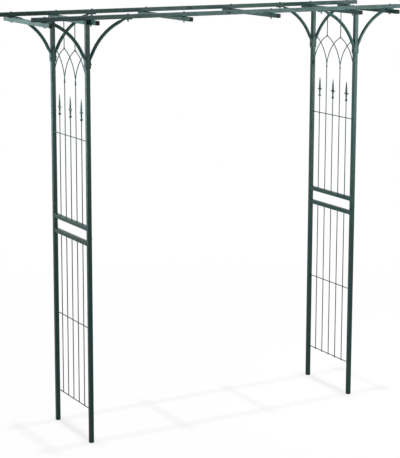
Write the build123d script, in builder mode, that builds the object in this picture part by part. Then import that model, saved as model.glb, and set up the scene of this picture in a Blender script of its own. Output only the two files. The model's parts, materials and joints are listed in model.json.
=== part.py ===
from build123d import *
import math
import os

os.makedirs("parts", exist_ok=True)

# Garden arch: two trellis legs of square tube and wire carry a flat roof of two long beams
# and six crossbars, stiffened by curved braces. It comes apart into bolted and screwed pieces.
# Millimetres: +X along the width, +Y to the back, +Z up, origin on the ground under the middle.

# Overall layout
arch_height = 2030.0        # ground to the top faces of the long beams
leg_spacing = 1496.0        # post centre to post centre across the passage
post_spacing = 378.0        # front post centre to back post centre in one leg
beam_overhang = 62.0        # beam beyond the centre of its end crossbar
crossbar_overhang = 71.0    # crossbar beyond the centre of the beam above it

# Square tube of the posts, rails, beams and crossbars
tube_side = 20.0
tube_wall = 0.8
tube_corner = 2.0
least_corner = 0.2          # corner that a thick wall still leaves inside
seam_break = 0.4            # softened outer edge where two tube ends meet

# Wire of the trellis panels
wire_diameter = 4.5
wires_per_panel = 5
weld_gap = 0.1              # room left between wires that are welded side by side

# Trellis panels: heights from the ground, then drops from what lies above
bottom_wire_height = 167.0
wire_tail = 1.5             # upright wire end below the bottom cross wire
rail_from_seam = 36.0       # rail centre to the seam between the two post halves
apex_drop = 131.0           # underside of the top rail to the points of the tracery
tracery_rise = 179.0        # springing line to the points of the tracery
limb_lift = 20.0            # springing line to the welded feet of the tracery's limbs
finial_tip_drop = 40.0      # springing line to the finial tips
upper_wire_drop = 92.0      # finial beads to the upper cross wire

# Spear finials
bead_diameter = 13.0
bead_height = 11.0
bead_foot_diameter = 8.0    # flat ring under the bead, round the stem
bead_drop = 95.0            # tip to the middle of the bead
finial_barb_drop = 61.0     # tip to the middle of the barbs
barb_span = 44.0
barb_depth = 12.0           # height of the barbs where they cross the spear
barb_hollow = 0.4           # inward curve of the barbs' edges
barb_thickness = 6.0
blade_width = 15.0
blade_thickness = 8.0
blade_shoulder = 9.0        # barbs to the widest place of the blade
blade_belly = 32.0          # barbs to the place where the blade begins to draw in
blade_belly_share = 0.84    # its width there, as a share of the widest
blade_tip = 3.2
neck_base_diameter = 6.5
neck_top_diameter = 9.0
stem_socket_depth = 6.0     # blind hole in the bead for the stem wire
stem_clearance = 0.1

# Spigots and screws that join the halves of posts and beams
spigot_length = 90.0
spigot_wall = 1.0
spigot_clearance = 0.15
joint_screw_offset = 15.0   # seam to the screw
joint_screw_diameter = 5.0
joint_screw_length = 10.0
joint_head_diameter = 10.5
joint_head_height = 5.0
joint_head_rim = 1.6        # straight edge below the head's dome
beam_seam = -15.0           # X of the seam between the two halves of a beam

# Curved braces: round tube, pressed flat at both ends
brace_diameter = 16.0
brace_reach = 200.0         # post face to the upper bolt
brace_drop = 202.0          # beam underside to the lower bolt
brace_bulge = 18.5          # rise of the curve above its chord
brace_stand_off = 14.0      # tube axis to the tab's face where the tube is still round
brace_flare = 26.0          # length over which the tube goes from round to flat
brace_flat = 0.2            # flat on the round section that lines up with the tab's faces
tab_length = 40.0
tab_width = 20.0
tab_thickness = 4.0
tab_corner = 6.0

# Bolts and nuts
bolt_diameter = 6.0
bolt_hole_clearance = 0.5
thread_clearance = 0.1
bolt_head_diameter = 11.5
bolt_head_height = 4.0
bolt_head_rim = 1.2         # straight edge below the head's dome
crossing_bolt_length = 50.0
brace_bolt_length = 35.0
nut_across_flats = 10.0
nut_height = 5.0

# Plastic end plugs and foot caps
plug_head = 3.0
plug_stem = 18.0
plug_clearance = 0.1
plug_dome = 1.2             # raised middle of the plug's face
plug_dome_margin = 3.5
plug_dome_slope = 40.0      # degrees
foot_cap_height = 6.0       # below the end of the post
foot_cap_round = 1.2

# Sizes that follow
leg_x = leg_spacing / 2
post_y = post_spacing / 2
half_tube = tube_side / 2
bore_side = tube_side - 2 * tube_wall
bore_corner = max(tube_corner - tube_wall, least_corner)
bolt_hole_radius = (bolt_diameter + bolt_hole_clearance) / 2
screw_hole_radius = (joint_screw_diameter + bolt_hole_clearance) / 2
wire_radius = wire_diameter / 2
side_by_side = (wire_diameter + weld_gap) / 2

beam_underside = arch_height - tube_side
post_seam = beam_underside / 2
panel_width = post_spacing - tube_side
wire_pitch = panel_width / (wires_per_panel + 1)

lower_rail_z = post_seam - rail_from_seam
upper_rail_z = post_seam + rail_from_seam
top_rail_z = beam_underside - half_tube
lower_rail_underside = lower_rail_z - half_tube
middle_wire_height = (bottom_wire_height + lower_rail_underside) / 2
apex_z = top_rail_z - half_tube - apex_drop
springing_z = apex_z - tracery_rise
finial_tip_z = springing_z - finial_tip_drop
bead_z = finial_tip_z - bead_drop
upper_wire_z = bead_z - upper_wire_drop

leg_crossbar_x = leg_x - tube_side
middle_crossbar_x = leg_crossbar_x / 3
end_crossbar_x = leg_x + half_tube + brace_reach
inner_brace_bolt_x = leg_x - half_tube - brace_reach
brace_bolt_z = beam_underside - brace_drop
post_screw_z = post_seam - joint_screw_offset
beam_screw_x = beam_seam + joint_screw_offset
beam_end = end_crossbar_x + beam_overhang
crossbar_end = post_y + crossbar_overhang
crossbar_z = beam_underside - half_tube
end_crossbar_z = crossbar_z - tab_thickness
beam_z = arch_height - half_tube

legs = {"left": -1, "right": 1}
rows = {"front": -1, "back": 1}
crossbars = {
    "left_end_crossbar": (-end_crossbar_x, end_crossbar_z),
    "left_leg_crossbar": (-leg_crossbar_x, crossbar_z),
    "left_middle_crossbar": (-middle_crossbar_x, crossbar_z),
    "right_middle_crossbar": (middle_crossbar_x, crossbar_z),
    "right_leg_crossbar": (leg_crossbar_x, crossbar_z),
    "right_end_crossbar": (end_crossbar_x, end_crossbar_z),
}
beam_bolt_xs = [x for x, z in crossbars.values()] + [-inner_brace_bolt_x, inner_brace_bolt_x]
corners = [(leg, row) for leg in legs.values() for row in rows.values()]
crossings = [(x, row * post_y, z) for x, z in crossbars.values() for row in rows.values()]


def save(piece, name):
    """Label a finished piece and write its file"""
    piece.part.label = name
    export_step(piece.part, f"parts/{name}.step")


def tube_profile(side=tube_side, wall=tube_wall, corner=tube_corner):
    """Rounded square ring, drawn in the open sketch"""
    inner_corner = max(corner - wall, least_corner)
    RectangleRounded(side, side, corner)
    RectangleRounded(side - 2 * wall, side - 2 * wall, inner_corner, mode=Mode.SUBTRACT)


def soften_seam(end_face):
    """Break the outer edge of a tube's end, in the open part"""
    chamfer(end_face.outer_wire().edges(), seam_break)


def across_x(x, y, z, side=1):
    """Plane at a point that faces +X, or -X"""
    return Plane(origin=(x, y, z), x_dir=(0, side, 0), z_dir=(side, 0, 0))


def across_y(x, y, z, side=1):
    """Plane at a point that faces +Y, or -Y"""
    return Plane(origin=(x, y, z), x_dir=(-side, 0, 0), z_dir=(0, side, 0))


def post_screw_seat(leg, row):
    """Where the screw of a post's joint goes in, on the passage side"""
    return across_x(leg * (leg_x - half_tube), row * post_y, post_screw_z, -leg)


def beam_screw_seat(row):
    """Where the screw of a beam's joint goes in, on the front"""
    return across_y(beam_screw_x, row * post_y - half_tube, beam_z, -1)


def upright_wires(leg, ys, bottom, top):
    """Straight upright wires, drawn in the open part"""
    with BuildSketch(Plane.XY.offset(bottom)) as sections:
        with Locations(*[(leg * leg_x, y) for y in ys]):
            Circle(wire_radius)
    extrude(sections.sketch, amount=top - bottom)


def cross_wire(leg, z):
    """Level wire from post to post on the outer side of the uprights, drawn in the open part"""
    wire_x = leg * (leg_x + wire_diameter + weld_gap)
    with BuildSketch(across_y(wire_x, -panel_width / 2, z)) as section:
        Circle(wire_radius)
    extrude(section.sketch, amount=panel_width)


def limb_radius(run):
    """Bend radius of a limb that starts upright and reaches its point over a level run"""
    return (run**2 + tracery_rise**2) / (2 * run)


def tracery_limb(leg, start_y, end_y):
    """One bent wire of the pointed arches: bent from the springing line, cut level at its foot and
    mitred at its top"""
    lean = 1 if end_y > start_y else -1
    run = abs(end_y - start_y)
    radius = limb_radius(run)
    turn_to_point = math.acos(1 - run / radius)
    turn_past_mitre = wire_diameter / radius
    foot = Vector(leg * leg_x + lean * side_by_side, start_y, springing_z)
    bend_axis = Axis(foot + Vector(0, lean * radius, 0), (-lean, 0, 0))
    with BuildPart() as limb:
        with BuildSketch(Plane(origin=foot)):
            Circle(wire_radius)
        revolve(axis=bend_axis, revolution_arc=math.degrees(turn_to_point + turn_past_mitre))
        split(bisect_by=Plane(origin=(0, end_y, 0), z_dir=(0, -lean, 0)))
        split(bisect_by=Plane.XY.offset(springing_z + limb_lift))
    return limb.part


def spear_finial(leg, y):
    """Cast spear: bead, tapered neck, two barbs and a four-sided blade, blind below for its stem"""
    tip = Vector(leg * leg_x, y, finial_tip_z)
    bead = tip - Vector(0, 0, bead_drop)
    barbs = tip - Vector(0, 0, finial_barb_drop)
    bead_bottom = (bead_foot_diameter / 2, -bead_height / 2)
    neck_base = (neck_base_diameter / 2, bead_height / 2)
    neck_length = bead_drop - finial_barb_drop
    with BuildPart() as finial:
        with BuildSketch(across_y(bead.X, bead.Y, bead.Z)):
            with BuildLine():
                ThreePointArc(bead_bottom, (bead_diameter / 2, 0), neck_base)
                Polyline(
                    neck_base,
                    (neck_top_diameter / 2, neck_length),
                    (0, neck_length),
                    (0, -bead_height / 2),
                    bead_bottom,
                )
            make_face()
        revolve(axis=Axis(bead, (0, 0, 1)))
        with BuildSketch(across_x(barbs.X, barbs.Y, barbs.Z)):
            with BuildLine():
                points = [
                    (-barb_span / 2, 0),
                    (0, barb_depth / 2),
                    (barb_span / 2, 0),
                    (0, -barb_depth / 2),
                ]
                for first, last in zip(points, points[1:] + points[:1]):
                    SagittaArc(first, last, -barb_hollow)
            make_face()
        extrude(amount=barb_thickness / 2, both=True)
        blade_sections = [
            (0, neck_top_diameter, neck_top_diameter),
            (blade_shoulder, blade_width, blade_thickness),
            (blade_belly, blade_belly_share * blade_width, blade_belly_share * blade_thickness),
            (finial_barb_drop, blade_tip, blade_tip),
        ]
        for rise, width, thickness in blade_sections:
            with BuildSketch(Plane(origin=barbs + Vector(0, 0, rise))):
                Polygon((thickness / 2, 0), (0, width / 2), (-thickness / 2, 0), (0, -width / 2))
        loft(ruled=True)
        with Locations(Plane(origin=bead - Vector(0, 0, bead_height / 2), z_dir=(0, 0, -1))):
            Hole(wire_radius + stem_clearance, depth=stem_socket_depth)
    return finial.part


def curved_brace(leg, row, side):
    """Brace on one face of a post: side 1 reaches into the passage, side -1 outwards"""
    away = -leg * side
    corner = Vector(leg * leg_x + away * half_tube, row * post_y, beam_underside)
    wide = (0, 1, 0)
    lower_flat = brace_drop - tab_length / 2
    upper_flat = brace_reach - tab_length / 2

    def place(out, down):
        return corner + Vector(away * out, 0, -down)

    lower_end = place(brace_stand_off, lower_flat - brace_flare)
    upper_end = place(upper_flat - brace_flare, brace_stand_off)
    bulge = (place(0, 0) - place(1, 1)).normalized() * brace_bulge
    bend = ThreePointArc(lower_end, (lower_end + upper_end) / 2 + bulge, upper_end)
    bend_axis = Axis(bend.arc_center, (lower_end - bend.arc_center).cross(bend % 0))
    lower_round = Plane(lower_end, x_dir=wide, z_dir=-(bend % 0))
    upper_round = Plane(upper_end, x_dir=wide, z_dir=bend % 1)
    lower_tab = Plane(place(tab_thickness / 2, lower_flat), x_dir=wide, z_dir=(0, 0, -1))
    upper_tab = Plane(place(upper_flat, tab_thickness / 2), x_dir=wide, z_dir=(away, 0, 0))

    with BuildPart() as brace:
        with BuildSketch(lower_round):
            SlotOverall(brace_diameter + brace_flat, brace_diameter)
        revolve(axis=bend_axis, revolution_arc=math.degrees(bend.length / bend.radius))
        for round_end, tab in ((lower_round, lower_tab), (upper_round, upper_tab)):
            with BuildSketch(round_end):
                SlotOverall(brace_diameter + brace_flat, brace_diameter)
            with BuildSketch(tab):
                Rectangle(tab_width, tab_thickness)
            loft()
            with BuildSketch(tab):
                Rectangle(tab_width, tab_thickness)
            extrude(amount=tab_length)
            through_tab = brace.edges().filter_by(Axis((0, 0, 0), tab.y_dir))
            end_corners = through_tab.sort_by(Axis(tab.origin, tab.z_dir))[-2:]
            fillet(end_corners, tab_corner)
        with Locations(Plane(place(0, brace_drop), z_dir=(1, 0, 0)), Plane(place(brace_reach, 0))):
            Hole(bolt_hole_radius, depth=2 * tab_thickness)
    return brace.part


def headed_pin(seat, diameter, length, head_diameter, head_height, head_rim):
    """Dome-headed bolt or screw through a plane that faces out of its head, drawn in the open part"""
    half_plane = Plane(origin=seat.origin, x_dir=seat.x_dir, z_dir=-seat.y_dir)
    with BuildSketch(half_plane) as half_section:
        with BuildLine():
            TangentArc((0, head_height), (head_diameter / 2, head_rim), tangent=(1, 0))
            Polyline(
                (head_diameter / 2, head_rim),
                (head_diameter / 2, 0),
                (diameter / 2, 0),
                (diameter / 2, -length),
                (0, -length),
                (0, head_height),
            )
        make_face()
    revolve(half_section.sketch, axis=Axis(seat.origin, seat.z_dir))


def end_plug(mouth):
    """Plug in a tube's end, on the plane of the end, drawn in the open part"""
    stem_side = bore_side - 2 * plug_clearance
    dome_side = tube_side - 2 * plug_dome_margin
    with BuildSketch(mouth) as stem:
        RectangleRounded(stem_side, stem_side, bore_corner)
    extrude(stem.sketch, amount=-plug_stem)
    with BuildSketch(mouth) as head:
        RectangleRounded(tube_side, tube_side, tube_corner)
    extrude(head.sketch, amount=plug_head)
    with BuildSketch(mouth.offset(plug_head)) as dome:
        RectangleRounded(dome_side, dome_side, tube_corner)
    extrude(dome.sketch, amount=plug_dome, taper=plug_dome_slope)


# Legs
for leg_name, leg in legs.items():
    for row_name, row in rows.items():
        # Lower half of a post, open below for its foot cap and drilled for the joint screw
        with BuildPart() as lower_post:
            with BuildSketch(Plane(origin=(leg * leg_x, row * post_y, foot_cap_height))):
                tube_profile()
            extrude(amount=post_seam - foot_cap_height)
            soften_seam(lower_post.faces().sort_by(Axis.Z)[-1])
            with Locations(post_screw_seat(leg, row)):
                Hole(screw_hole_radius, depth=half_tube)
        save(lower_post, f"{leg_name}_lower_{row_name}_post")

        # Upper half of a post, drilled through for the bolt that holds its two braces
        with BuildPart() as upper_post:
            with BuildSketch(Plane(origin=(leg * leg_x, row * post_y, post_seam))):
                tube_profile()
            extrude(amount=beam_underside - post_seam)
            soften_seam(upper_post.faces().sort_by(Axis.Z)[0])
            with Locations(across_x(leg * leg_x, row * post_y, brace_bolt_z)):
                Hole(bolt_hole_radius, depth=tube_side)
        save(upper_post, f"{leg_name}_upper_{row_name}_post")

    # Rails between the two posts of a leg
    rail_heights = {"lower_rail": lower_rail_z, "upper_rail": upper_rail_z, "top_rail": top_rail_z}
    for rail_name, rail_z in rail_heights.items():
        with BuildPart() as rail:
            with BuildSketch(across_y(leg * leg_x, -panel_width / 2, rail_z)):
                tube_profile()
            extrude(amount=panel_width)
        save(rail, f"{leg_name}_{rail_name}")

    # Wires: upright ones stand between the posts at an even pitch
    wire_ys = [wire_pitch * (place + 1) - panel_width / 2 for place in range(wires_per_panel)]
    stem_ys = wire_ys[0::2]
    branch_ys = wire_ys[1::2]
    upright_foot = bottom_wire_height - wire_radius - wire_tail

    with BuildPart() as lower_uprights:
        upright_wires(leg, wire_ys, upright_foot, lower_rail_underside)
    save(lower_uprights, f"{leg_name}_lower_upright_wires")

    with BuildPart() as lower_cross_wires:
        for wire_z in (bottom_wire_height, middle_wire_height):
            cross_wire(leg, wire_z)
    save(lower_cross_wires, f"{leg_name}_lower_cross_wires")

    with BuildPart() as upper_cross_wire:
        cross_wire(leg, upper_wire_z)
    save(upper_cross_wire, f"{leg_name}_upper_cross_wire")

    socket_top = bead_z - bead_height / 2 + stem_socket_depth
    with BuildPart() as finial_stems:
        upright_wires(leg, stem_ys, upper_rail_z + half_tube, socket_top - stem_clearance)
    save(finial_stems, f"{leg_name}_finial_stems")

    with BuildPart() as spear_finials:
        for stem_y in stem_ys:
            add(spear_finial(leg, stem_y))
    save(spear_finials, f"{leg_name}_spear_finials")

    # Interlaced pointed arches: every springing point sends a limb to each neighbour's place
    post_side = panel_width / 2 - wire_radius - weld_gap
    springing_ys = [-post_side] + branch_ys + [post_side]
    apex_ys = [-panel_width / 2] + branch_ys + [panel_width / 2]
    with BuildPart() as tracery:
        upright_wires(leg, branch_ys, upper_rail_z + half_tube, springing_z + limb_lift - weld_gap)
        for place in range(len(apex_ys) - 1):
            add(tracery_limb(leg, springing_ys[place], apex_ys[place + 1]))
            add(tracery_limb(leg, springing_ys[place + 1], apex_ys[place]))
    save(tracery, f"{leg_name}_tracery")

    # Short uprights from the points of the tracery to the top rail
    point_slope = tracery_rise / limb_radius(branch_ys[1] - branch_ys[0])
    point_top = apex_z + wire_radius / point_slope + weld_gap
    with BuildPart() as apex_uprights:
        upright_wires(leg, branch_ys, point_top, top_rail_z - half_tube)
    save(apex_uprights, f"{leg_name}_apex_uprights")

    # Spigots inside the post joints
    with BuildPart() as post_spigots:
        for row in rows.values():
            seam_plane = Plane(origin=(leg * leg_x, row * post_y, post_seam - spigot_length / 2))
            with BuildSketch(seam_plane) as spigot_section:
                tube_profile(bore_side - 2 * spigot_clearance, spigot_wall, bore_corner)
            extrude(spigot_section.sketch, amount=spigot_length)
        with Locations(*[post_screw_seat(leg, row) for row in rows.values()]):
            Hole(screw_hole_radius, depth=half_tube)
    save(post_spigots, f"{leg_name}_post_spigots")

    # Foot caps: flush with the posts, each on a stem inside the tube
    with BuildPart() as foot_caps:
        stem_side = bore_side - 2 * plug_clearance
        cap_places = [(leg * leg_x, row * post_y) for row in rows.values()]
        with BuildSketch() as cap_outline:
            with Locations(*cap_places):
                RectangleRounded(tube_side, tube_side, tube_corner)
        extrude(cap_outline.sketch, amount=foot_cap_height)
        fillet(foot_caps.edges().group_by(Axis.Z)[0], foot_cap_round)
        with BuildSketch(Plane.XY.offset(foot_cap_height)) as stem_outline:
            with Locations(*cap_places):
                RectangleRounded(stem_side, stem_side, bore_corner)
        extrude(stem_outline.sketch, amount=plug_stem)
    save(foot_caps, f"{leg_name}_foot_caps")

    # Braces: one into the passage and one outwards at each post
    for row_name, row in rows.items():
        for side_name, side in {"inner": 1, "outer": -1}.items():
            with BuildPart() as brace:
                add(curved_brace(leg, row, side))
            save(brace, f"{leg_name}_{row_name}_{side_name}_brace")

# Roof
for row_name, row in rows.items():
    beam_mouth = beam_end - plug_head
    beam_spans = {"left": (-beam_mouth, beam_seam), "right": (beam_seam, beam_mouth)}
    for half_name, (start_x, end_x) in beam_spans.items():
        with BuildPart() as beam:
            with BuildSketch(across_x(start_x, row * post_y, beam_z)):
                tube_profile()
            extrude(amount=end_x - start_x)
            seam_place = -1 if end_x == beam_seam else 0
            soften_seam(beam.faces().sort_by(Axis.X)[seam_place])
            bolt_xs = [x for x in beam_bolt_xs if start_x < x < end_x]
            with Locations(*[(x, row * post_y, beam_z) for x in bolt_xs]):
                Hole(bolt_hole_radius, depth=tube_side)
            if start_x < beam_screw_x < end_x:
                with Locations(beam_screw_seat(row)):
                    Hole(screw_hole_radius, depth=half_tube)
        save(beam, f"{row_name}_beam_{half_name}_half")

with BuildPart() as beam_spigots:
    for row in rows.values():
        spigot_end = across_x(beam_seam - spigot_length / 2, row * post_y, beam_z)
        with BuildSketch(spigot_end) as spigot_section:
            tube_profile(bore_side - 2 * spigot_clearance, spigot_wall, bore_corner)
        extrude(spigot_section.sketch, amount=spigot_length)
    with Locations(*[beam_screw_seat(row) for row in rows.values()]):
        Hole(screw_hole_radius, depth=half_tube)
save(beam_spigots, "beam_spigots")

for crossbar_name, (bar_x, bar_z) in crossbars.items():
    with BuildPart() as crossbar:
        tube_end = crossbar_end - plug_head
        with BuildSketch(across_y(bar_x, -tube_end, bar_z)):
            tube_profile()
        extrude(amount=2 * tube_end)
        with Locations(*[(bar_x, row * post_y, bar_z) for row in rows.values()]):
            Hole(bolt_hole_radius, depth=tube_side)
    save(crossbar, crossbar_name)

with BuildPart() as crossbar_end_plugs:
    for bar_x, bar_z in crossbars.values():
        for row in rows.values():
            end_plug(across_y(bar_x, row * (crossbar_end - plug_head), bar_z, row))
save(crossbar_end_plugs, "crossbar_end_plugs")

with BuildPart() as beam_end_plugs:
    for row in rows.values():
        for leg in legs.values():
            end_plug(across_x(leg * (beam_end - plug_head), row * post_y, beam_z, leg))
save(beam_end_plugs, "beam_end_plugs")

# Fasteners
post_bolt_face = leg_x + half_tube + tab_thickness
post_nut_face = leg_x - half_tube - tab_thickness
brace_top_places = [(leg * inner_brace_bolt_x, row * post_y) for leg, row in corners]
bolt_sets = {
    "crossing_bolts": (
        [Plane((x, y, arch_height)) for x, y, z in crossings],
        crossing_bolt_length,
    ),
    "brace_top_bolts": (
        [Plane((x, y, arch_height)) for x, y in brace_top_places],
        brace_bolt_length,
    ),
    "brace_post_bolts": (
        [across_x(leg * post_bolt_face, row * post_y, brace_bolt_z, leg) for leg, row in corners],
        brace_bolt_length,
    ),
}
for bolts_name, (seats, length) in bolt_sets.items():
    with BuildPart() as bolts:
        for seat in seats:
            headed_pin(seat, bolt_diameter, length, bolt_head_diameter, bolt_head_height, bolt_head_rim)
    save(bolts, bolts_name)

with BuildPart() as joint_screws:
    post_screw_seats = [post_screw_seat(leg, row) for leg, row in corners]
    beam_screw_seats = [beam_screw_seat(row) for row in rows.values()]
    for seat in post_screw_seats + beam_screw_seats:
        headed_pin(
            seat,
            joint_screw_diameter,
            joint_screw_length,
            joint_head_diameter,
            joint_head_height,
            joint_head_rim,
        )
save(joint_screws, "joint_screws")

# Nuts sit against the last piece that each bolt goes through
down = (0, 0, -1)
under_tab = beam_underside - tab_thickness
nut_planes = (
    [Plane((x, y, z - half_tube), z_dir=down) for x, y, z in crossings]
    + [Plane((x, y, under_tab), z_dir=down) for x, y in brace_top_places]
    + [across_x(leg * post_nut_face, row * post_y, brace_bolt_z, -leg) for leg, row in corners]
)
with BuildPart() as hex_nuts:
    for nut_plane in nut_planes:
        with BuildSketch(nut_plane) as nut_section:
            RegularPolygon(nut_across_flats / 2, 6, major_radius=False)
            Circle((bolt_diameter + thread_clearance) / 2, mode=Mode.SUBTRACT)
        extrude(nut_section.sketch, amount=nut_height)
save(hex_nuts, "hex_nuts")
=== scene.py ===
import json
import math
import bmesh
import bpy
from mathutils import Matrix, Vector, kdtree, noise


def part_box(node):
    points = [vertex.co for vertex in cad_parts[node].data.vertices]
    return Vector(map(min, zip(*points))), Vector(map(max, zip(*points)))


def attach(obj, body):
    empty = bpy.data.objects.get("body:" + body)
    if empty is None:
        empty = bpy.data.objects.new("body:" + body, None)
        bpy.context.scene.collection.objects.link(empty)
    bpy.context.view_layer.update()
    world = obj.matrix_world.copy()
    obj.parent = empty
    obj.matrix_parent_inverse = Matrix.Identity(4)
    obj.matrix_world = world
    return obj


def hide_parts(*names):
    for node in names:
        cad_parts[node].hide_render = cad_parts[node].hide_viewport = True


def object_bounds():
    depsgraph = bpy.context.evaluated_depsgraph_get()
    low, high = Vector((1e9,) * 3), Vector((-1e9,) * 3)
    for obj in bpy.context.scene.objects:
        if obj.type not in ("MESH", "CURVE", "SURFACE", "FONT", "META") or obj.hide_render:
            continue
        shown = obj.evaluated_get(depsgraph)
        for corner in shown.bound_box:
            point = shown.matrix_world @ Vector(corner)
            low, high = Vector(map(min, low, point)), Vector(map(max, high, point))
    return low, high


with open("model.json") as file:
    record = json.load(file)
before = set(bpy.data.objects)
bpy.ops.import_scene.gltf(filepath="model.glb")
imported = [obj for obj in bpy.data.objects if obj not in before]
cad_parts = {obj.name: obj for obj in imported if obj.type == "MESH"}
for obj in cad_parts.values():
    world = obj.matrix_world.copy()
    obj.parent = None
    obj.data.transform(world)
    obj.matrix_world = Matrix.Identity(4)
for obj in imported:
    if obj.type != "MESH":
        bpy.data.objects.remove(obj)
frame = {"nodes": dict(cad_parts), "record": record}        # the garden arch as packed: its nodes, its one body and its record
cad_low, cad_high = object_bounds()

# The frame is in metres and the sizes below are in millimetres, unless they say otherwise
mm = 0.001
legs = ("left", "right")
merge_distance = 0.001      # points nearer than this are one point
same_level = 0.01           # points nearer than this lie at one level

# Finishes: colours as they look in plain light, and the sizes of the patterns on them
coat_deep = "#213f3b"       # where the film is thick
coat_pale = "#294c47"       # where it flowed out thin
coat_speckle = "#3c5c58"    # single grains of powder
coat_film_size = 45.0
coat_grain_size = 1.2
coat_speckle_share = 0.12
coat_gloss_range = 0.05     # roughness to either side of the mean
coat_relief = 0.35          # strength of the orange peel's bumps
coat_specular = 0.14
plastic_deep = "#101314"
plastic_scuffed = "#23282a"
plastic_grain_size = 1.5
plastic_grain_depth = 0.06
plastic_relief = 0.4
plastic_scuff_size = 9.0
plastic_scuff_share = 0.6
plastic_gloss = (0.48, 0.66)   # roughness, from clean to scuffed
steel_blotch_size = 4.0
dull_specular = 0.15        # plastic and blackened steel
noise_spread = (0.3, 0.7)   # range in which most values of a noise lie
grain_spread = (0.35, 0.8)
scuff_spread = (0.52, 0.75)

# Shading: degrees between two faces from which their edge looks sharp
fitting_edge_angle = 38.0
nut_edge_angle = 25.0
casting_edge_angle = 50.0
weld_edge_angle = 60.0

# Fasteners
ring_steps = 30             # points round a bolt or nut, five on each flat of a hexagon
bolt_head_height = 4.0
bolt_head_rim = 1.2
bolt_socket_flats = 4.0
bolt_socket_depth = 2.2
bolt_thread_length = 13.0
thread_pitch = 1.0
thread_depth = 0.55
thread_steps = 5            # rings in one pitch
edge_break = 0.25           # softened edges of heads, sockets and shank ends
head_shares = (0.12, 0.45, 0.75, 0.95)   # rings over a head, between its recess and its edge
nut_chamfer = 30.0          # degrees
nut_face = 0.95             # a nut's turned face, as a share of its width
screw_steps = 48            # points round a screw, twelve on each arm of its cross recess
screw_head_height = 5.0
screw_head_rim = 1.6
screw_cross_reach = 2.6
screw_cross_half_width = 0.75
screw_cross_depth = 1.6
smallest_sine = 1e-6        # keeps a division off zero

# Plastic fittings, and the black bands of painted shade over the beam seams
corner_steps = 6            # points on each rounded corner of a square
plug_head = 3.0
plug_stem_inset = 0.9
plug_corner = 2.0
plug_dome_half = 6.5
plug_dome_rise = 1.2
plug_dome_inset = 1.2
plug_edge = 0.7
edge_round = 0.3            # where the middle ring of a rounded edge stands, as a share of the edge
plug_gate_radius = 0.9      # round mark where the plastic entered the mould
# A thin black band over each beam seam: painted shade in place of the shadowed gap where the halves meet
seam_shade_width = 3.6
seam_shade_proud = 0.1
seam_shade_depth = 0.6
cap_head = 6.0
cap_edge = 0.5
cap_foot_round = 1.2

# Welds
weld_steps = 16             # points round a weld collar
weld_leg = 2.4              # how far a collar spreads over the tube and up the wire
weld_sink = 0.4             # how far a weld reaches into what it joins
weld_ripple = 0.35          # height of a bead's ripples
weld_ripple_pitch = 3.0
weld_ripple_steps = 6
collar_slope = ((0.85, 0.22), (0.45, 0.62), (0.12, 1.0))   # out from the wire and up it, in weld legs
collar_top = 1.1            # where a collar meets its wire, in weld legs
collar_unevenness = 0.16
collar_lump = 3.0
nugget_layers = 6
nugget_flatness = 0.75
nugget_unevenness = 0.14
nugget_lump = 2.5
crossing_nugget = 1.2       # reach where straight wires cross, in wire radii
limb_nugget = 2.7           # reach where bent limbs meet
springing_nugget = 3.4      # reach where a limb leaves a post
rail_bead_radius = 1.9
rail_bead_steps = 10
rail_bead_unevenness = 0.2
rail_bead_lump = 6.0
touching = 0.6              # pieces nearer than this are welded to each other
limb_touching = 1.8         # the same for the points of bent limbs, which lie apart
bent_spread = 10            # a wire wider than this many of its thicknesses is bent

# Spear finials: drop from the tip, half thickness, half width and roundness of each section,
# where a roundness of 1 is a diamond and 2 an ellipse
section_steps = 32
finial_sections = (
    (0.0, 0.7, 0.7, 1.8),
    (0.5, 1.5, 1.5, 1.6),
    (14.0, 2.5, 4.1, 1.6),
    (29.0, 3.4, 6.4, 1.6),
    (42.0, 3.9, 7.2, 1.6),
    (52.0, 4.1, 7.5, 1.6),
    (54.0, 4.2, 7.2, 1.6),
    (55.4, 4.3, 7.6, 1.5),
    (56.6, 4.3, 9.3, 1.4),
    (57.6, 4.1, 12.2, 1.3),
    (58.5, 3.9, 15.8, 1.25),
    (59.2, 3.7, 19.2, 1.2),
    (59.9, 3.6, 21.2, 1.2),
    (61.0, 3.6, 21.9, 1.2),
    (62.1, 3.6, 21.2, 1.2),
    (62.8, 3.7, 19.2, 1.2),
    (63.5, 3.9, 15.8, 1.25),
    (64.4, 4.1, 12.2, 1.3),
    (65.4, 4.2, 8.9, 1.4),
    (66.6, 4.3, 6.2, 1.6),
    (68.0, 4.4, 4.9, 1.8),
    (70.0, 4.4, 4.4, 2.0),
    (80.0, 3.8, 3.8, 2.0),
    (88.6, 3.3, 3.3, 2.0),
    (89.6, 3.6, 3.6, 2.0),
)
bead_drop = 95.0            # tip to the middle of the bead under the neck
bead_half_height = 5.5
bead_radius = 6.5
bead_foot_radius = 4.0      # flat ring under the bead, round the stem
bead_rows = 8
stem_hole_radius = 2.35


def linear(hex_colour):
    """sRGB hex to the linear colour that shaders take"""
    channels = [int(hex_colour[k:k + 2], 16) / 255 for k in (1, 3, 5)]
    return [c / 12.92 if c <= 0.04045 else ((c + 0.055) / 1.055) ** 2.4 for c in channels] + [1.0]


def per_metre(size_mm):
    """Texture scale for a pattern whose features are that size"""
    return 1 / (size_mm * mm)


def add_node(tree, kind, inputs=None, **settings):
    """Adds a node, sets its properties, and fills or links its inputs"""
    made = tree.nodes.new(kind)
    for name, value in settings.items():
        setattr(made, name, value)
    for socket, value in (inputs or {}).items():
        if isinstance(value, bpy.types.NodeSocket):
            tree.links.new(value, made.inputs[socket])
        else:
            made.inputs[socket].default_value = value
    return made


def empty_material(name):
    """A material with no nodes yet, and its node tree"""
    material = bpy.data.materials.new(name)
    material.use_nodes = True
    material.node_tree.nodes.clear()
    return material, material.node_tree


def surface_place(tree):
    """Where on its piece a point of the surface is"""
    return add_node(tree, "ShaderNodeTexCoord").outputs["Object"]


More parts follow.
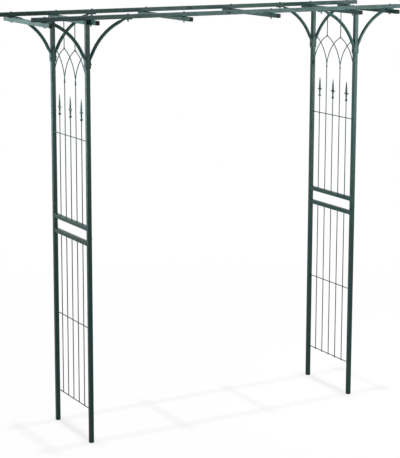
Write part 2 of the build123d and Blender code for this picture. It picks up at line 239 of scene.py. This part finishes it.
def pattern(tree, place, size_mm, detail, roughness=0.5):
    """A noise whose features are about that size"""
    return add_node(
        tree,
        "ShaderNodeTexNoise",
        {"Vector": place, "Scale": per_metre(size_mm), "Detail": detail, "Roughness": roughness},
    ).outputs["Fac"]


def remap(tree, value, source=(0.0, 1.0), target=(0.0, 1.0)):
    """A value moved from one range to another and held there"""
    return add_node(
        tree,
        "ShaderNodeMapRange",
        {
            "Value": value,
            "From Min": source[0],
            "From Max": source[1],
            "To Min": target[0],
            "To Max": target[1],
        },
    ).outputs["Result"]


def blend(tree, share, first, second):
    """A colour between two others"""
    return add_node(
        tree, "ShaderNodeMix", {0: share, 6: first, 7: second}, data_type="RGBA"
    ).outputs[2]


def relief(tree, height, strength, depth_mm):
    """Bumps on a surface, as deep as that"""
    return add_node(
        tree, "ShaderNodeBump", {"Strength": strength, "Distance": depth_mm * mm, "Height": height}
    ).outputs["Normal"]


def finish_surface(tree, inputs):
    """Ends a material with a surface of those inputs"""
    surface = add_node(tree, "ShaderNodeBsdfPrincipled", inputs).outputs["BSDF"]
    add_node(tree, "ShaderNodeOutputMaterial", {"Surface": surface})


def powder_coat(name, peel_size, peel_depth, roughness):
    """Polyester powder baked on steel: a dark bluish green film with a satin sheen. The cured film has
    a faint orange peel, and it is a shade paler and glossier where it flowed out thin."""
    material, tree = empty_material(name)
    place = surface_place(tree)
    film = pattern(tree, place, coat_film_size, detail=4.0)
    grain = pattern(tree, place, coat_grain_size, detail=2.0)
    peel = pattern(tree, place, peel_size, detail=1.5)
    thinness = remap(tree, film, noise_spread)
    film_colour = blend(tree, thinness, linear(coat_deep), linear(coat_pale))
    speckle = remap(tree, grain, grain_spread, (0.0, coat_speckle_share))
    gloss_ends = (roughness + coat_gloss_range, roughness - coat_gloss_range)
    finish_surface(tree, {
        "Base Color": blend(tree, speckle, film_colour, linear(coat_speckle)),
        "Roughness": remap(tree, film, noise_spread, gloss_ends),
        "Normal": relief(tree, peel, coat_relief, peel_depth),
        "Specular IOR Level": coat_specular,
    })
    return material


def moulded_polyethylene(name):
    """Black polyethylene from a spark-eroded mould: nearly matt, with a grain of about half a millimetre,
    drawn three times as coarse so that it shows, and paler scuffs where it was handled."""
    material, tree = empty_material(name)
    place = surface_place(tree)
    grain = pattern(tree, place, plastic_grain_size, detail=3.0)
    scuffs = pattern(tree, place, plastic_scuff_size, detail=5.0, roughness=0.65)
    scuffed = remap(tree, scuffs, scuff_spread, (0.0, plastic_scuff_share))
    finish_surface(tree, {
        "Base Color": blend(tree, scuffed, linear(plastic_deep), linear(plastic_scuffed)),
        "Roughness": remap(tree, scuffs, target=plastic_gloss),
        "Normal": relief(tree, grain, plastic_relief, plastic_grain_depth),
        "Specular IOR Level": dull_specular,
    })
    return material


def blackened_steel(name, deep, pale, smooth, rough, metallic):
    """Steel blackened in a bath: a dark surface with a soft sheen, blotched a little where the bath took
    unevenly. Zinc plate stays metallic, and a phosphate coat is dull."""
    material, tree = empty_material(name)
    blotches = pattern(tree, surface_place(tree), steel_blotch_size, detail=4.0)
    uneven = remap(tree, blotches, noise_spread)
    finish_surface(tree, {
        "Base Color": blend(tree, uneven, linear(deep), linear(pale)),
        "Roughness": remap(tree, blotches, target=(smooth, rough)),
        "Metallic": metallic,
        "Specular IOR Level": dull_specular,
    })
    return material


coat_on_tube = powder_coat(
    "polyester_powder_coat_on_tube", peel_size=3.0, peel_depth=0.05, roughness=0.34
)
coat_on_wire = powder_coat(
    "polyester_powder_coat_on_wire", peel_size=1.6, peel_depth=0.03, roughness=0.34
)
coat_on_casting = powder_coat(
    "polyester_powder_coat_on_sand_casting", peel_size=1.3, peel_depth=0.08, roughness=0.40
)
coat_on_weld = powder_coat(
    "polyester_powder_coat_on_weld", peel_size=1.0, peel_depth=0.06, roughness=0.36
)
polyethylene = moulded_polyethylene("moulded_black_polyethylene")
zinc_steel = blackened_steel(
    "black_zinc_plated_steel", deep="#3b4444", pale="#566161", smooth=0.3, rough=0.5, metallic=1.0
)
phosphated_steel = blackened_steel(
    "black_phosphated_steel", deep="#0e1415", pale="#1b2324", smooth=0.45, rough=0.6, metallic=0.0
)

# Finishes of the nodes that show as packed
slot_materials = {"powder_coat": coat_on_tube, "plastic": polyethylene, "fastener": zinc_steel}
wire_words = ("wire", "stems", "tracery", "apex")
for subpart in frame["record"]["subparts"]:
    cad_node = frame["nodes"][subpart["node"]]
    finish = slot_materials[subpart["material_slot"]]
    if any(word in subpart["node"] for word in wire_words):
        finish = coat_on_wire
    cad_node.material_slots[0].material = finish


# Reading the frame
def solids_of(node_name):
    """The points of each separate solid of a node"""
    shape = bmesh.new()
    shape.from_mesh(frame["nodes"][node_name].data)
    bmesh.ops.remove_doubles(shape, verts=shape.verts, dist=merge_distance * mm)
    solids = []
    seen = set()
    for start in shape.verts:
        if start in seen:
            continue
        seen.add(start)
        points = []
        waiting = [start]
        while waiting:
            vert = waiting.pop()
            points.append(vert.co.copy())
            for edge in vert.link_edges:
                other = edge.other_vert(vert)
                if other not in seen:
                    seen.add(other)
                    waiting.append(other)
        solids.append(points)
    shape.free()
    return solids


def box_of(points):
    """Lowest and highest corner of some points"""
    low = Vector([min(p[k] for p in points) for k in range(3)])
    high = Vector([max(p[k] for p in points) for k in range(3)])
    return low, high


def unit(axis, sign=1):
    """Unit vector along one of the frame's axes"""
    direction = Vector((0, 0, 0))
    direction[axis] = sign
    return direction


def upright_on(point, out):
    """Matrix from millimetres with Z along a direction to a place in the frame"""
    turn = out.to_track_quat("Z", "Y").to_matrix().to_4x4()
    return Matrix.Translation(point) @ turn @ Matrix.Scale(mm, 4)


# Making meshes
def ring(radius, height, steps=ring_steps):
    """Points round the Z axis, where the radius and the height may be functions of the angle"""
    points = []
    for step in range(steps):
        angle = 2 * math.pi * step / steps
        reach = radius(angle) if callable(radius) else radius
        level = height(angle) if callable(height) else height
        points.append(Vector((reach * math.cos(angle), reach * math.sin(angle), level)))
    return points


def rounded_square(half, corner, height):
    """Points round a square with rounded corners"""
    inset = half - corner
    points = []
    for quarter in range(4):
        turn = Matrix.Rotation(quarter * math.pi / 2, 3, "Z")
        middle = turn @ Vector((inset, inset, height))
        for step in range(corner_steps):
            angle = (quarter + step / (corner_steps - 1)) * math.pi / 2
            points.append(middle + Vector((math.cos(angle), math.sin(angle), 0)) * corner)
    return points


def add_skin(shape, rings, matrix, loop=False):
    """Joins rings of points into a closed skin: capped at both ends, or run back to the first ring"""
    rows = [[shape.verts.new(matrix @ point) for point in points] for points in rings]
    pairs = list(zip(rows, rows[1:]))
    if loop:
        pairs.append((rows[-1], rows[0]))
    else:
        shape.faces.new(reversed(rows[0]))
        shape.faces.new(rows[-1])
    for lower, upper in pairs:
        for step in range(len(lower)):
            after = (step + 1) % len(lower)
            shape.faces.new((lower[step], lower[after], upper[after], upper[step]))


def make_piece(name, shape, material, edge_angle=fitting_edge_angle):
    """Turns a shape into a smooth-shaded piece of the arch"""
    bmesh.ops.recalc_face_normals(shape, faces=shape.faces)
    mesh = bpy.data.meshes.new(name)
    shape.to_mesh(mesh)
    shape.free()
    mesh.materials.append(material)
    mesh.shade_smooth()
    mesh.set_sharp_from_angle(angle=math.radians(edge_angle))
    piece = bpy.data.objects.new(name, mesh)
    bpy.context.scene.collection.objects.link(piece)
    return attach(piece, "root")


# Bolts, nuts and screws
def hexagon(flats):
    """Radius of a hexagon by the angle, with a corner at angle zero"""
    def radius(angle):
        return flats / 2 / math.cos(angle % (math.pi / 3) - math.pi / 6)
    return radius


def cross(reach, half_width):
    """Radius of a cross by the angle, with an arm along angle zero"""
    def radius(angle):
        off_arm = (angle + math.pi / 4) % (math.pi / 2) - math.pi / 4
        side = half_width / max(abs(math.sin(off_arm)), smallest_sine)
        return min(reach / math.cos(off_arm), side)
    return radius


def dome(head_radius, head_height, rim):
    """Height of a round head by the distance from its middle"""
    rise = head_height - rim
    ball = (head_radius**2 + rise**2) / (2 * rise)

    def height(distance):
        return head_height - ball + math.sqrt(ball**2 - distance**2)
    return height


def fastener_places(node_name):
    """Seat, outward direction, head radius, shank radius and shank length of each bolt in a node"""
    places = []
    for points in solids_of(node_name):
        low, high = box_of(points)
        size = high - low
        axis = max(range(3), key=lambda k: size[k])
        middle = (low + high) / 2
        across = [(axis + 1) % 3, (axis + 2) % 3]

        def off_axis(point):
            return math.hypot(*[point[k] - middle[k] for k in across])

        head_radius = max(off_axis(point) for point in points)
        sign = 1 if max(points, key=off_axis)[axis] > middle[axis] else -1
        tip = low[axis] if sign > 0 else high[axis]
        shank_radius = max(off_axis(p) for p in points if abs(p[axis] - tip) < same_level * mm)
        head = [p[axis] for p in points if off_axis(p) > (head_radius + shank_radius) / 2]
        seat = middle.copy()
        seat[axis] = min(head) if sign > 0 else max(head)
        length = abs(seat[axis] - tip)
        places.append((seat, unit(axis, sign), head_radius / mm, shank_radius / mm, length / mm))
    return places


def shank_radius_of(node_name):
    """Shank radius of a node's bolts, which are all alike"""
    seat, out, head_radius, shank_radius, length = fastener_places(node_name)[0]
    return shank_radius


def socket_lip(socket):
    """The recess widened by its softened edge"""
    return lambda angle: socket(angle) + edge_break


def head_rings(socket, socket_depth, head_radius, head_height, rim, shank_radius, steps):
    """Rings from the floor of the drive recess, over the head and in to the shank"""
    top = dome(head_radius, head_height, rim)
    lip = socket_lip(socket)
    rings = [
        ring(socket, head_height - socket_depth, steps),
        ring(socket, lambda angle: top(socket(angle)) - edge_break, steps),
        ring(lip, lambda angle: top(lip(angle)), steps),
    ]
    widest = max(lip(2 * math.pi * step / steps) for step in range(steps))
    for share in head_shares:
        distance = widest + (head_radius - edge_break - widest) * share
        rings.append(ring(distance, top(distance), steps))
    rings.append(ring(head_radius, rim - edge_break / 2, steps))
    rings.append(ring(head_radius, edge_break, steps))
    rings.append(ring(head_radius - edge_break, 0, steps))
    rings.append(ring(shank_radius, 0, steps))
    return rings


def thread_rings(radius, start, end, steps):
    """Rings down a threaded shank, whose radius follows the thread's turn"""
    count = round((start - end) / thread_pitch * thread_steps)
    rings = []
    for row in range(count + 1):
        level = start + (end - start) * row / count

        def flank(angle):
            turn = (level / thread_pitch + angle / (2 * math.pi)) % 1
            return radius - thread_depth * abs(2 * turn - 1)

        rings.append(ring(flank, level, steps))
    return rings


def button_bolts(name, node_name):
    """Button-head bolts with a hexagon socket and a threaded end"""
    shape = bmesh.new()
    socket = hexagon(bolt_socket_flats)
    for seat, out, head_radius, shank_radius, length in fastener_places(node_name):
        rings = head_rings(
            socket,
            bolt_socket_depth,
            head_radius,
            bolt_head_height,
            bolt_head_rim,
            shank_radius,
            ring_steps,
        )
        thread_end = -length + thread_depth
        rings += thread_rings(shank_radius, thread_end + bolt_thread_length, thread_end, ring_steps)
        rings.append(ring(shank_radius - 2 * thread_depth, -length))
        add_skin(shape, rings, upright_on(seat, out))
    piece = make_piece(name, shape, zinc_steel)
    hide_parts(node_name)


def pan_screws(name, node_name):
    """Pan-head screws with a cross recess"""
    shape = bmesh.new()
    recess = cross(screw_cross_reach, screw_cross_half_width)
    for seat, out, head_radius, shank_radius, length in fastener_places(node_name):
        rings = head_rings(
            recess,
            screw_cross_depth,
            head_radius,
            screw_head_height,
            screw_head_rim,
            shank_radius,
            screw_steps,
        )
        rings += thread_rings(shank_radius, -edge_break, -length + thread_depth, screw_steps)
        rings.append(ring(shank_radius - 2 * thread_depth, -length, screw_steps))
        add_skin(shape, rings, upright_on(seat, out))
    piece = make_piece(name, shape, phosphated_steel)
    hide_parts(node_name)


def chamfered_nuts(name, node_name, hole_radius):
    """Hexagon nuts whose corners are turned down at both faces"""
    shape = bmesh.new()
    slope = math.tan(math.radians(nut_chamfer))
    for points in solids_of(node_name):
        low, high = box_of(points)
        size = (high - low) / mm
        axis = min(range(3), key=lambda k: size[k])
        corner_axis = max(range(3), key=lambda k: size[k])
        flat_axis = 3 - axis - corner_axis
        half = size[axis] / 2
        outline = hexagon(size[flat_axis])
        face_radius = size[flat_axis] / 2 * nut_face

        def shoulder(angle):
            return half - (outline(angle) - face_radius) * slope

        rings = [
            ring(hole_radius, half - thread_depth),
            ring(hole_radius + thread_depth, half),
            ring(face_radius, half),
            ring(outline, shoulder),
            ring(outline, lambda angle: -shoulder(angle)),
            ring(face_radius, -half),
            ring(hole_radius + thread_depth, -half),
            ring(hole_radius, thread_depth - half),
        ]
        turn = Matrix.Identity(3)
        turn.col[0] = unit(corner_axis)
        turn.col[1] = unit(axis).cross(unit(corner_axis))
        turn.col[2] = unit(axis)
        place = Matrix.Translation((low + high) / 2) @ turn.to_4x4() @ Matrix.Scale(mm, 4)
        add_skin(shape, rings, place, loop=True)
    piece = make_piece(name, shape, zinc_steel, nut_edge_angle)
    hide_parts(node_name)


button_bolts("crossing_button_bolts", "crossing_bolts")
button_bolts("brace_top_button_bolts", "brace_top_bolts")
button_bolts("brace_post_button_bolts", "brace_post_bolts")
pan_screws("pan_head_joint_screws", "joint_screws")
chamfered_nuts("chamfered_hex_nuts", "hex_nuts", shank_radius_of("crossing_bolts"))


# Plastic fittings, and the black bands of painted shade over the beam seams
def soft_end_plugs(name, node_name):
    """End plugs with softened edges, a raised middle and the round mark of the mould's gate"""
    shape = bmesh.new()
    for points in solids_of(node_name):
        low, high = box_of(points)
        middle = (low + high) / 2
        axis = max(range(2), key=lambda k: abs(middle[k]) / cad_high[k])
        sign = 1 if middle[axis] > 0 else -1
        outer = high[axis] if sign > 0 else low[axis]
        crown = plug_head + plug_dome_rise
        mouth = middle.copy()
        mouth[axis] = outer - sign * crown * mm
        half = (high - low)[(axis + 1) % 3] / 2 / mm
        stem_half = half - plug_stem_inset
        stem_length = abs((low if sign > 0 else high)[axis] - mouth[axis]) / mm
        dome_top = plug_dome_half - plug_dome_inset
        gate_floor = plug_gate_radius - edge_break
        rings = [
            rounded_square(stem_half, plug_corner / 2, -stem_length),
            rounded_square(stem_half, plug_corner / 2, 0),
            rounded_square(half, plug_corner, 0),
            rounded_square(half, plug_corner, plug_head - plug_edge),
            rounded_square(half - plug_edge * edge_round, plug_corner, plug_head - plug_edge * edge_round),
            rounded_square(half - plug_edge, plug_corner, plug_head),
            rounded_square(plug_dome_half + edge_break, plug_corner, plug_head),
            rounded_square(plug_dome_half, plug_corner, plug_head + edge_break / 2),
            rounded_square(dome_top + edge_break, plug_corner, crown - edge_break),
            rounded_square(dome_top - edge_break, plug_corner, crown),
            rounded_square(plug_gate_radius, plug_gate_radius, crown),
            rounded_square(gate_floor, gate_floor, crown - edge_break),
        ]
        add_skin(shape, rings, upright_on(mouth, unit(axis, sign)))
    piece = make_piece(name, shape, polyethylene)
    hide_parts(node_name)


def soft_foot_caps(name, node_name):
    """Foot caps flush with the posts: a stem in the tube, a softened shoulder and a rounded foot"""
    shape = bmesh.new()
    for points in solids_of(node_name):
        low, high = box_of(points)
        half = (high - low).x / 2 / mm
        stem_half = half - plug_stem_inset
        stem_top = (high - low).z / mm
        rings = [
            rounded_square(stem_half, plug_corner / 2, stem_top),
            rounded_square(stem_half, plug_corner / 2, cap_head),
            rounded_square(half - cap_edge, plug_corner, cap_head),
            rounded_square(half - cap_edge * edge_round, plug_corner, cap_head - cap_edge * edge_round),
            rounded_square(half, plug_corner, cap_head - cap_edge),
            rounded_square(half, plug_corner, cap_foot_round),
            rounded_square(half - cap_foot_round * edge_round, plug_corner, cap_foot_round * edge_round),
            rounded_square(half - cap_foot_round, plug_corner, 0),
        ]
        foot = Vector(((low.x + high.x) / 2, (low.y + high.y) / 2, low.z))
        add_skin(shape, rings, upright_on(foot, unit(2)))
    piece = make_piece(name, shape, polyethylene)
    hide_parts(node_name)


soft_end_plugs("soft_edged_crossbar_plugs", "crossbar_end_plugs")
soft_end_plugs("soft_edged_beam_plugs", "beam_end_plugs")
for leg in legs:
    soft_foot_caps(f"{leg}_rounded_foot_caps", f"{leg}_foot_caps")


def seam_shade_rings(name, rows):
    """Thin black rings over the seams between the halves of the beams: painted shade that stands in for
    the shadowed gap of each seam
    """
    shape = bmesh.new()
    for row in rows:
        low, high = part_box(f"{row}_beam_left_half")
        seam = Vector((high.x, (low.y + high.y) / 2, (low.z + high.z) / 2))
        half = (high - low).z / 2 / mm
        outer = half + seam_shade_proud
        inner = half - seam_shade_depth
        edge = seam_shade_width / 2
        rings = [
            rounded_square(inner, plug_corner, -edge),
            rounded_square(outer, plug_corner, -edge),
            rounded_square(outer, plug_corner, edge),
            rounded_square(inner, plug_corner, edge),
        ]
        add_skin(shape, rings, upright_on(seam, unit(0)), loop=True)
    # Black plastic colour used as painted shade: the band darkens the seam as its shadowed gap would
    make_piece(name, shape, polyethylene)


seam_shade_rings("beam_seam_shade_rings", ("front", "back"))


# Castings
def rounded_diamond(half_thickness, half_width, roundness, height):
    """Points round a section between a diamond and an ellipse, thin along X and wide along Y"""
    points = []
    for step in range(section_steps):
        angle = 2 * math.pi * step / section_steps
        x, y = math.cos(angle), math.sin(angle)
        x = math.copysign(abs(x) ** (2 / roundness), x)
        y = math.copysign(abs(y) ** (2 / roundness), y)
        points.append(Vector((half_thickness * x, half_width * y, height)))
    return points


def bead_sections():
    """Drop and radius of each section of the bead: an arc, a flat foot and the blind hole for the stem"""
    swell = bead_radius - bead_foot_radius
    arc = (bead_half_height**2 + swell**2) / (2 * swell)
    half_turn = math.asin(bead_half_height / arc)
    sections = []
    for row in range(1, bead_rows):
        angle = half_turn * (2 * row / bead_rows - 1)
        sections.append((bead_drop + arc * math.sin(angle), bead_radius - arc * (1 - math.cos(angle))))
    foot = bead_drop + bead_half_height
    sections.append((foot - edge_break, bead_foot_radius))
    sections.append((foot, bead_foot_radius - edge_break))
    sections.append((foot, stem_hole_radius))
    sections.append((bead_drop, stem_hole_radius))
    return sections


def cast_finials(name, node_name):
    """Spear finials with the softened edges of a casting: blade, barbs, neck and a bead on the stem"""
    shape = bmesh.new()
    for points in solids_of(node_name):
        low, high = box_of(points)
        tip = Vector(((low.x + high.x) / 2, (low.y + high.y) / 2, high.z))
        rings = [rounded_diamond(*section[1:], -section[0]) for section in finial_sections]
        rings += [ring(radius, -drop, section_steps) for drop, radius in bead_sections()]
        add_skin(shape, rings, Matrix.Translation(tip) @ Matrix.Scale(mm, 4))
    piece = make_piece(name, shape, coat_on_casting, casting_edge_angle)
    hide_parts(node_name)


for leg in legs:
    cast_finials(f"{leg}_cast_finials", f"{leg}_spear_finials")


# Welds
def lumpy(point, size_mm):
    """Steady unevenness between -1 and 1 at a place in the frame"""
    return noise.noise(point / (size_mm * mm))


def add_collar(shape, point, along, wire_radius):
    """A weld collar round the end of a wire that stands on a tube"""
    place = upright_on(point, along)
    profile = [(wire_radius - weld_sink, -weld_sink), (wire_radius + weld_leg, -weld_sink)]
    profile += [(wire_radius + weld_leg * out, weld_leg * up) for out, up in collar_slope]
    profile.append((wire_radius - weld_sink, weld_leg * collar_top))
    rings = []
    for radius, height in profile:
        points = ring(radius, height, weld_steps)
        for spot in points:
            spread = 1 + collar_unevenness * lumpy(place @ spot, collar_lump) * (radius > wire_radius)
            spot.x *= spread
            spot.y *= spread
        rings.append(points)
    add_skin(shape, rings, place, loop=True)


def add_nugget(shape, point, out, long_axis, reach):
    """A small squeezed-out weld where two wires touch"""
    side = out.cross(long_axis).normalized()
    turn = Matrix((long_axis.normalized(), side, out.normalized())).transposed().to_4x4()
    place = Matrix.Translation(point) @ turn @ Matrix.Scale(mm, 4)
    rings = []
    for layer in range(1, nugget_layers):
        tilt = math.pi * layer / nugget_layers
        points = ring(reach * math.sin(tilt), -reach * nugget_flatness * math.cos(tilt), weld_steps)
        for spot in points:
            spot *= 1 + nugget_unevenness * lumpy(place @ spot, nugget_lump)
        rings.append(points)
    add_skin(shape, rings, place)


def add_rail_bead(shape, end, along, half):
    """A rippled bead round the end of a square rail, where it stands on a post"""
    place = upright_on(end, along)
    path = []
    rail = rounded_square(half - weld_sink, rail_bead_radius, weld_sink)
    for first, last in zip(rail, rail[1:] + rail[:1]):
        pieces = max(1, round((last - first).length / (weld_ripple_pitch / weld_ripple_steps)))
        path += [first.lerp(last, k / pieces) for k in range(pieces)]
    rings = []
    travelled = 0.0
    for before, here in zip([path[-1]] + path, path):
        travelled += (here - before).length
        outward = Vector((here.x, here.y, 0)).normalized()
        swell = weld_ripple * abs(math.sin(math.pi * travelled / weld_ripple_pitch))
        swell += rail_bead_unevenness * lumpy(place @ here, rail_bead_lump)
        points = []
        for step in range(rail_bead_steps):
            angle = 2 * math.pi * step / rail_bead_steps
            reach = rail_bead_radius - weld_ripple + swell
            points.append(here + outward * reach * math.cos(angle) + unit(2) * reach * math.sin(angle))
        rings.append(points)
    add_skin(shape, rings, place, loop=True)


def rail_welds(leg):
    """Beads at both ends of the three rails of a leg"""
    shape = bmesh.new()
    for rail in ("lower_rail", "upper_rail", "top_rail"):
        low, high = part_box(f"{leg}_{rail}")
        middle = (low + high) / 2
        half = (high - low).x / 2 / mm
        for sign, end in ((1, low.y), (-1, high.y)):
            add_rail_bead(shape, Vector((middle.x, end, middle.z)), unit(1, sign), half)
    make_piece(f"{leg}_rail_welds", shape, coat_on_weld, weld_edge_angle)


def straight_wires(leg):
    """Ends and radius of each straight wire of a leg"""
    names = (
        "lower_upright_wires",
        "lower_cross_wires",
        "upper_cross_wire",
        "finial_stems",
        "tracery",
        "apex_uprights",
    )
    wires = []
    for name in names:
        for points in solids_of(f"{leg}_{name}"):
            low, high = box_of(points)
            size = high - low
            axis = max(range(3), key=lambda k: size[k])
            across = [size[k] for k in range(3) if k != axis]
            if max(across) - min(across) > touching * mm:
                continue
            start = (low + high) / 2
            end = start.copy()
            start[axis] = low[axis]
            end[axis] = high[axis]
            wires.append((start, end, max(across) / 2 / mm))
    return wires


def bent_wires(leg):
    """Points of each bent limb of a leg's tracery"""
    limbs = []
    for points in solids_of(f"{leg}_tracery"):
        low, high = box_of(points)
        if (high - low).y > bent_spread * (high - low).x:
            limbs.append(points)
    return limbs


def tube_boxes(leg):
    """Boxes of the square tubes that a leg's wires may stand on"""
    names = [n for n in frame["nodes"] if n.startswith(leg) and n.endswith(("post", "rail"))]
    return [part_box(name) for name in names]


def stands_on(point, boxes):
    """Whether a point lies on one of the boxes"""
    room = touching * mm
    return any(all(low[k] - room < point[k] < high[k] + room for k in range(3)) for low, high in boxes)


def runs_along(wire, axis):
    """Whether a straight wire lies along one of the frame's axes"""
    start, end = wire[:2]
    return end[axis] > start[axis]


def wire_welds(leg):
    """Collars at the ends of a leg's straight wires, and nuggets where those wires cross"""
    shape = bmesh.new()
    wires = straight_wires(leg)
    boxes = tube_boxes(leg)
    for start, end, radius in wires:
        along = (end - start).normalized()
        for point, direction in ((start, along), (end, -along)):
            if stands_on(point, boxes):
                add_collar(shape, point, direction, radius)
    uprights = [wire for wire in wires if runs_along(wire, 2)]
    crosswise = [wire for wire in wires if runs_along(wire, 1)]
    for foot, top, radius in uprights:
        for start, end, cross_radius in crosswise:
            if foot.z < start.z < top.z:
                upright_place = Vector((foot.x, foot.y, start.z))
                cross_place = Vector((start.x, foot.y, start.z))
                middle = (upright_place + cross_place) / 2
                out = cross_place - upright_place
                add_nugget(shape, middle, out, unit(1), radius * crossing_nugget)
    make_piece(f"{leg}_wire_welds", shape, coat_on_weld, weld_edge_angle)


def nearest_places(points, others):
    """The two points, one from each list, that lie nearest to each other"""
    tree = kdtree.KDTree(len(others))
    for index, other in enumerate(others):
        tree.insert(other, index)
    tree.balance()
    best = min(points, key=lambda point: tree.find(point)[2])
    return best, tree.find(best)[0]


def tracery_welds(leg):
    """Nuggets where the bent limbs of the tracery cross, meet and spring"""
    shape = bmesh.new()
    limbs = bent_wires(leg)
    uprights = [points for points in solids_of(f"{leg}_tracery") if points not in limbs]
    uprights += solids_of(f"{leg}_apex_uprights")
    pairs = [(a, b) for k, a in enumerate(limbs) for b in limbs[k + 1:] + uprights]
    for first, second in pairs:
        here, there = nearest_places(first, second)
        if (here - there).length < limb_touching * mm:
            middle = (here + there) / 2
            add_nugget(shape, middle, unit(0), unit(2), limb_nugget)
    posts = tube_boxes(leg)
    for limb in limbs:
        on_post = [point for point in limb if stands_on(point, posts)]
        if on_post:
            middle = sum(on_post, Vector()) / len(on_post)
            add_nugget(shape, middle, unit(0), unit(2), springing_nugget)
    make_piece(f"{leg}_tracery_welds", shape, coat_on_weld, weld_edge_angle)


for leg in legs:
    rail_welds(leg)
    wire_welds(leg)
    tracery_welds(leg)


# Floor, light and camera
floor_size = 80.0                       # metres
floor_own_light = 0.79                  # share of the floor's white that shadows leave alone
floor_paper = "#fdfdfd"
floor_bounce = "#707070"                # dull to the arch, so that little light comes from below
shadow_reach = 1.8                      # metres from the middle, beyond which the floor fades to white
plain_white = "#ffffff"
sky_strength = 0.16                     # the studio's even light
camera_place = (-3.774, -6.465, 2.536)  # metres
camera_yaw = 29.98                      # degrees from +Y towards +X
camera_pitch = -10.41
camera_roll = 0.15
camera_lens = 120.05
camera_shift = -0.10                    # share of the picture's height


def maths(tree, operation, *values):
    """Result of a sum on values or outputs"""
    return add_node(tree, "ShaderNodeMath", dict(enumerate(values)), operation=operation).outputs[0]


def seen_ray(tree):
    """1 for the rays that show the backdrop: straight from the camera, mirrored or let through"""
    path = add_node(tree, "ShaderNodeLightPath").outputs
    mirrored = maths(tree, "MAXIMUM", path["Is Glossy Ray"], path["Is Transmission Ray"])
    return maths(tree, "MAXIMUM", path["Is Camera Ray"], mirrored)


def white_studio():
    """World that looks white and lights the arch evenly at a lower strength"""
    world = bpy.data.worlds.new("white_studio")
    bpy.context.scene.world = world
    world.use_nodes = True
    tree = world.node_tree
    tree.nodes.clear()
    strength = maths(tree, "MULTIPLY_ADD", seen_ray(tree), 1 - sky_strength, sky_strength)
    sky = add_node(tree, "ShaderNodeBackground", {"Color": linear(plain_white), "Strength": strength})
    add_node(tree, "ShaderNodeOutputWorld", {"Surface": sky.outputs[0]})


def white_floor():
    """Pale seamless floor that runs into the white behind it and keeps a faint shadow"""
    material, tree = empty_material("white_studio_floor")
    seen = seen_ray(tree)
    paper_colour = blend(tree, seen, linear(floor_bounce), linear(floor_paper))
    paper = add_node(tree, "ShaderNodeBsdfDiffuse", {"Color": paper_colour}).outputs[0]
    glow = add_node(tree, "ShaderNodeEmission", {"Color": linear(plain_white), "Strength": 1.0}).outputs[0]
    place = surface_place(tree)
    distance = add_node(tree, "ShaderNodeVectorMath", {0: place}, operation="LENGTH").outputs["Value"]
    own_light = add_node(
        tree,
        "ShaderNodeMapRange",
        {
            "Value": distance,
            "From Min": shadow_reach,
            "From Max": 2 * shadow_reach,
            "To Min": floor_own_light,
            "To Max": 1.0,
        },
        interpolation_type="SMOOTHSTEP",
    ).outputs["Result"]
    share = maths(tree, "MULTIPLY", seen, own_light)
    mixed = add_node(tree, "ShaderNodeMixShader", {0: share, 1: paper, 2: glow}).outputs[0]
    add_node(tree, "ShaderNodeOutputMaterial", {"Surface": mixed})
    shape = bmesh.new()
    bmesh.ops.create_grid(shape, x_segments=1, y_segments=1, size=floor_size / 2)
    mesh = bpy.data.meshes.new("studio_floor")
    shape.to_mesh(mesh)
    shape.free()
    mesh.materials.append(material)
    floor = bpy.data.objects.new("studio_floor", mesh)
    bpy.context.scene.collection.objects.link(floor)


def softbox(name, place, aim, size, power, spread=180.0):
    """Rectangular soft light, in metres, watts and degrees, that faces a point"""
    lamp = bpy.data.lights.new(name, "AREA")
    lamp.shape = "RECTANGLE"
    lamp.size, lamp.size_y = size
    lamp.energy = power
    lamp.spread = math.radians(spread)
    light = bpy.data.objects.new(name, lamp)
    light.location = place
    light.rotation_euler = (Vector(aim) - Vector(place)).to_track_quat("-Z", "Y").to_euler()
    light.visible_camera = False
    bpy.context.scene.collection.objects.link(light)


def overhead_light(strength, spread):
    """Parallel light from straight above, whose faint shadow lines join the feet on the floor"""
    lamp = bpy.data.lights.new("overhead_light", "SUN")
    lamp.energy = strength
    lamp.angle = math.radians(spread)
    light = bpy.data.objects.new("overhead_light", lamp)
    bpy.context.scene.collection.objects.link(light)


def photo_camera():
    """Camera at the photograph's viewing angle"""
    lens = bpy.data.cameras.new("photo_view")
    lens.lens = camera_lens
    lens.shift_y = camera_shift
    camera = bpy.data.objects.new("photo_view", lens)
    bpy.context.scene.collection.objects.link(camera)
    camera.matrix_world = (
        Matrix.Translation(camera_place)
        @ Matrix.Rotation(math.radians(-camera_yaw), 4, "Z")
        @ Matrix.Rotation(math.radians(90 + camera_pitch), 4, "X")
        @ Matrix.Rotation(math.radians(camera_roll), 4, "Z")
    )
    bpy.context.scene.camera = camera


white_studio()
white_floor()
overhead_light(strength=2.25, spread=2.0)
softbox(
    "upper_left_softbox",
    place=(-2.1, 0.2, 2.1),
    aim=(-0.75, 0.0, 1.75),
    size=(1.0, 1.0),
    power=8.5,
    spread=55.0,
)
softbox(
    "back_left_softbox",
    place=(-2.1, 2.3, 1.5),
    aim=(-0.75, 0.0, 1.6),
    size=(1.2, 1.4),
    power=10.0,
)
softbox(
    "front_right_softbox",
    place=(4.2, -5.0, 1.4),
    aim=(0.75, -0.2, 1.4),
    size=(3.0, 1.5),
    power=178.0,
)
softbox(
    "front_beam_softbox",
    place=(0.8, -2.6, 2.15),
    aim=(0.6, -0.2, 2.0),
    size=(1.6, 0.6),
    power=7.0,
    spread=50.0,
)
photo_camera()
bpy.context.scene.view_settings.view_transform = "Standard"
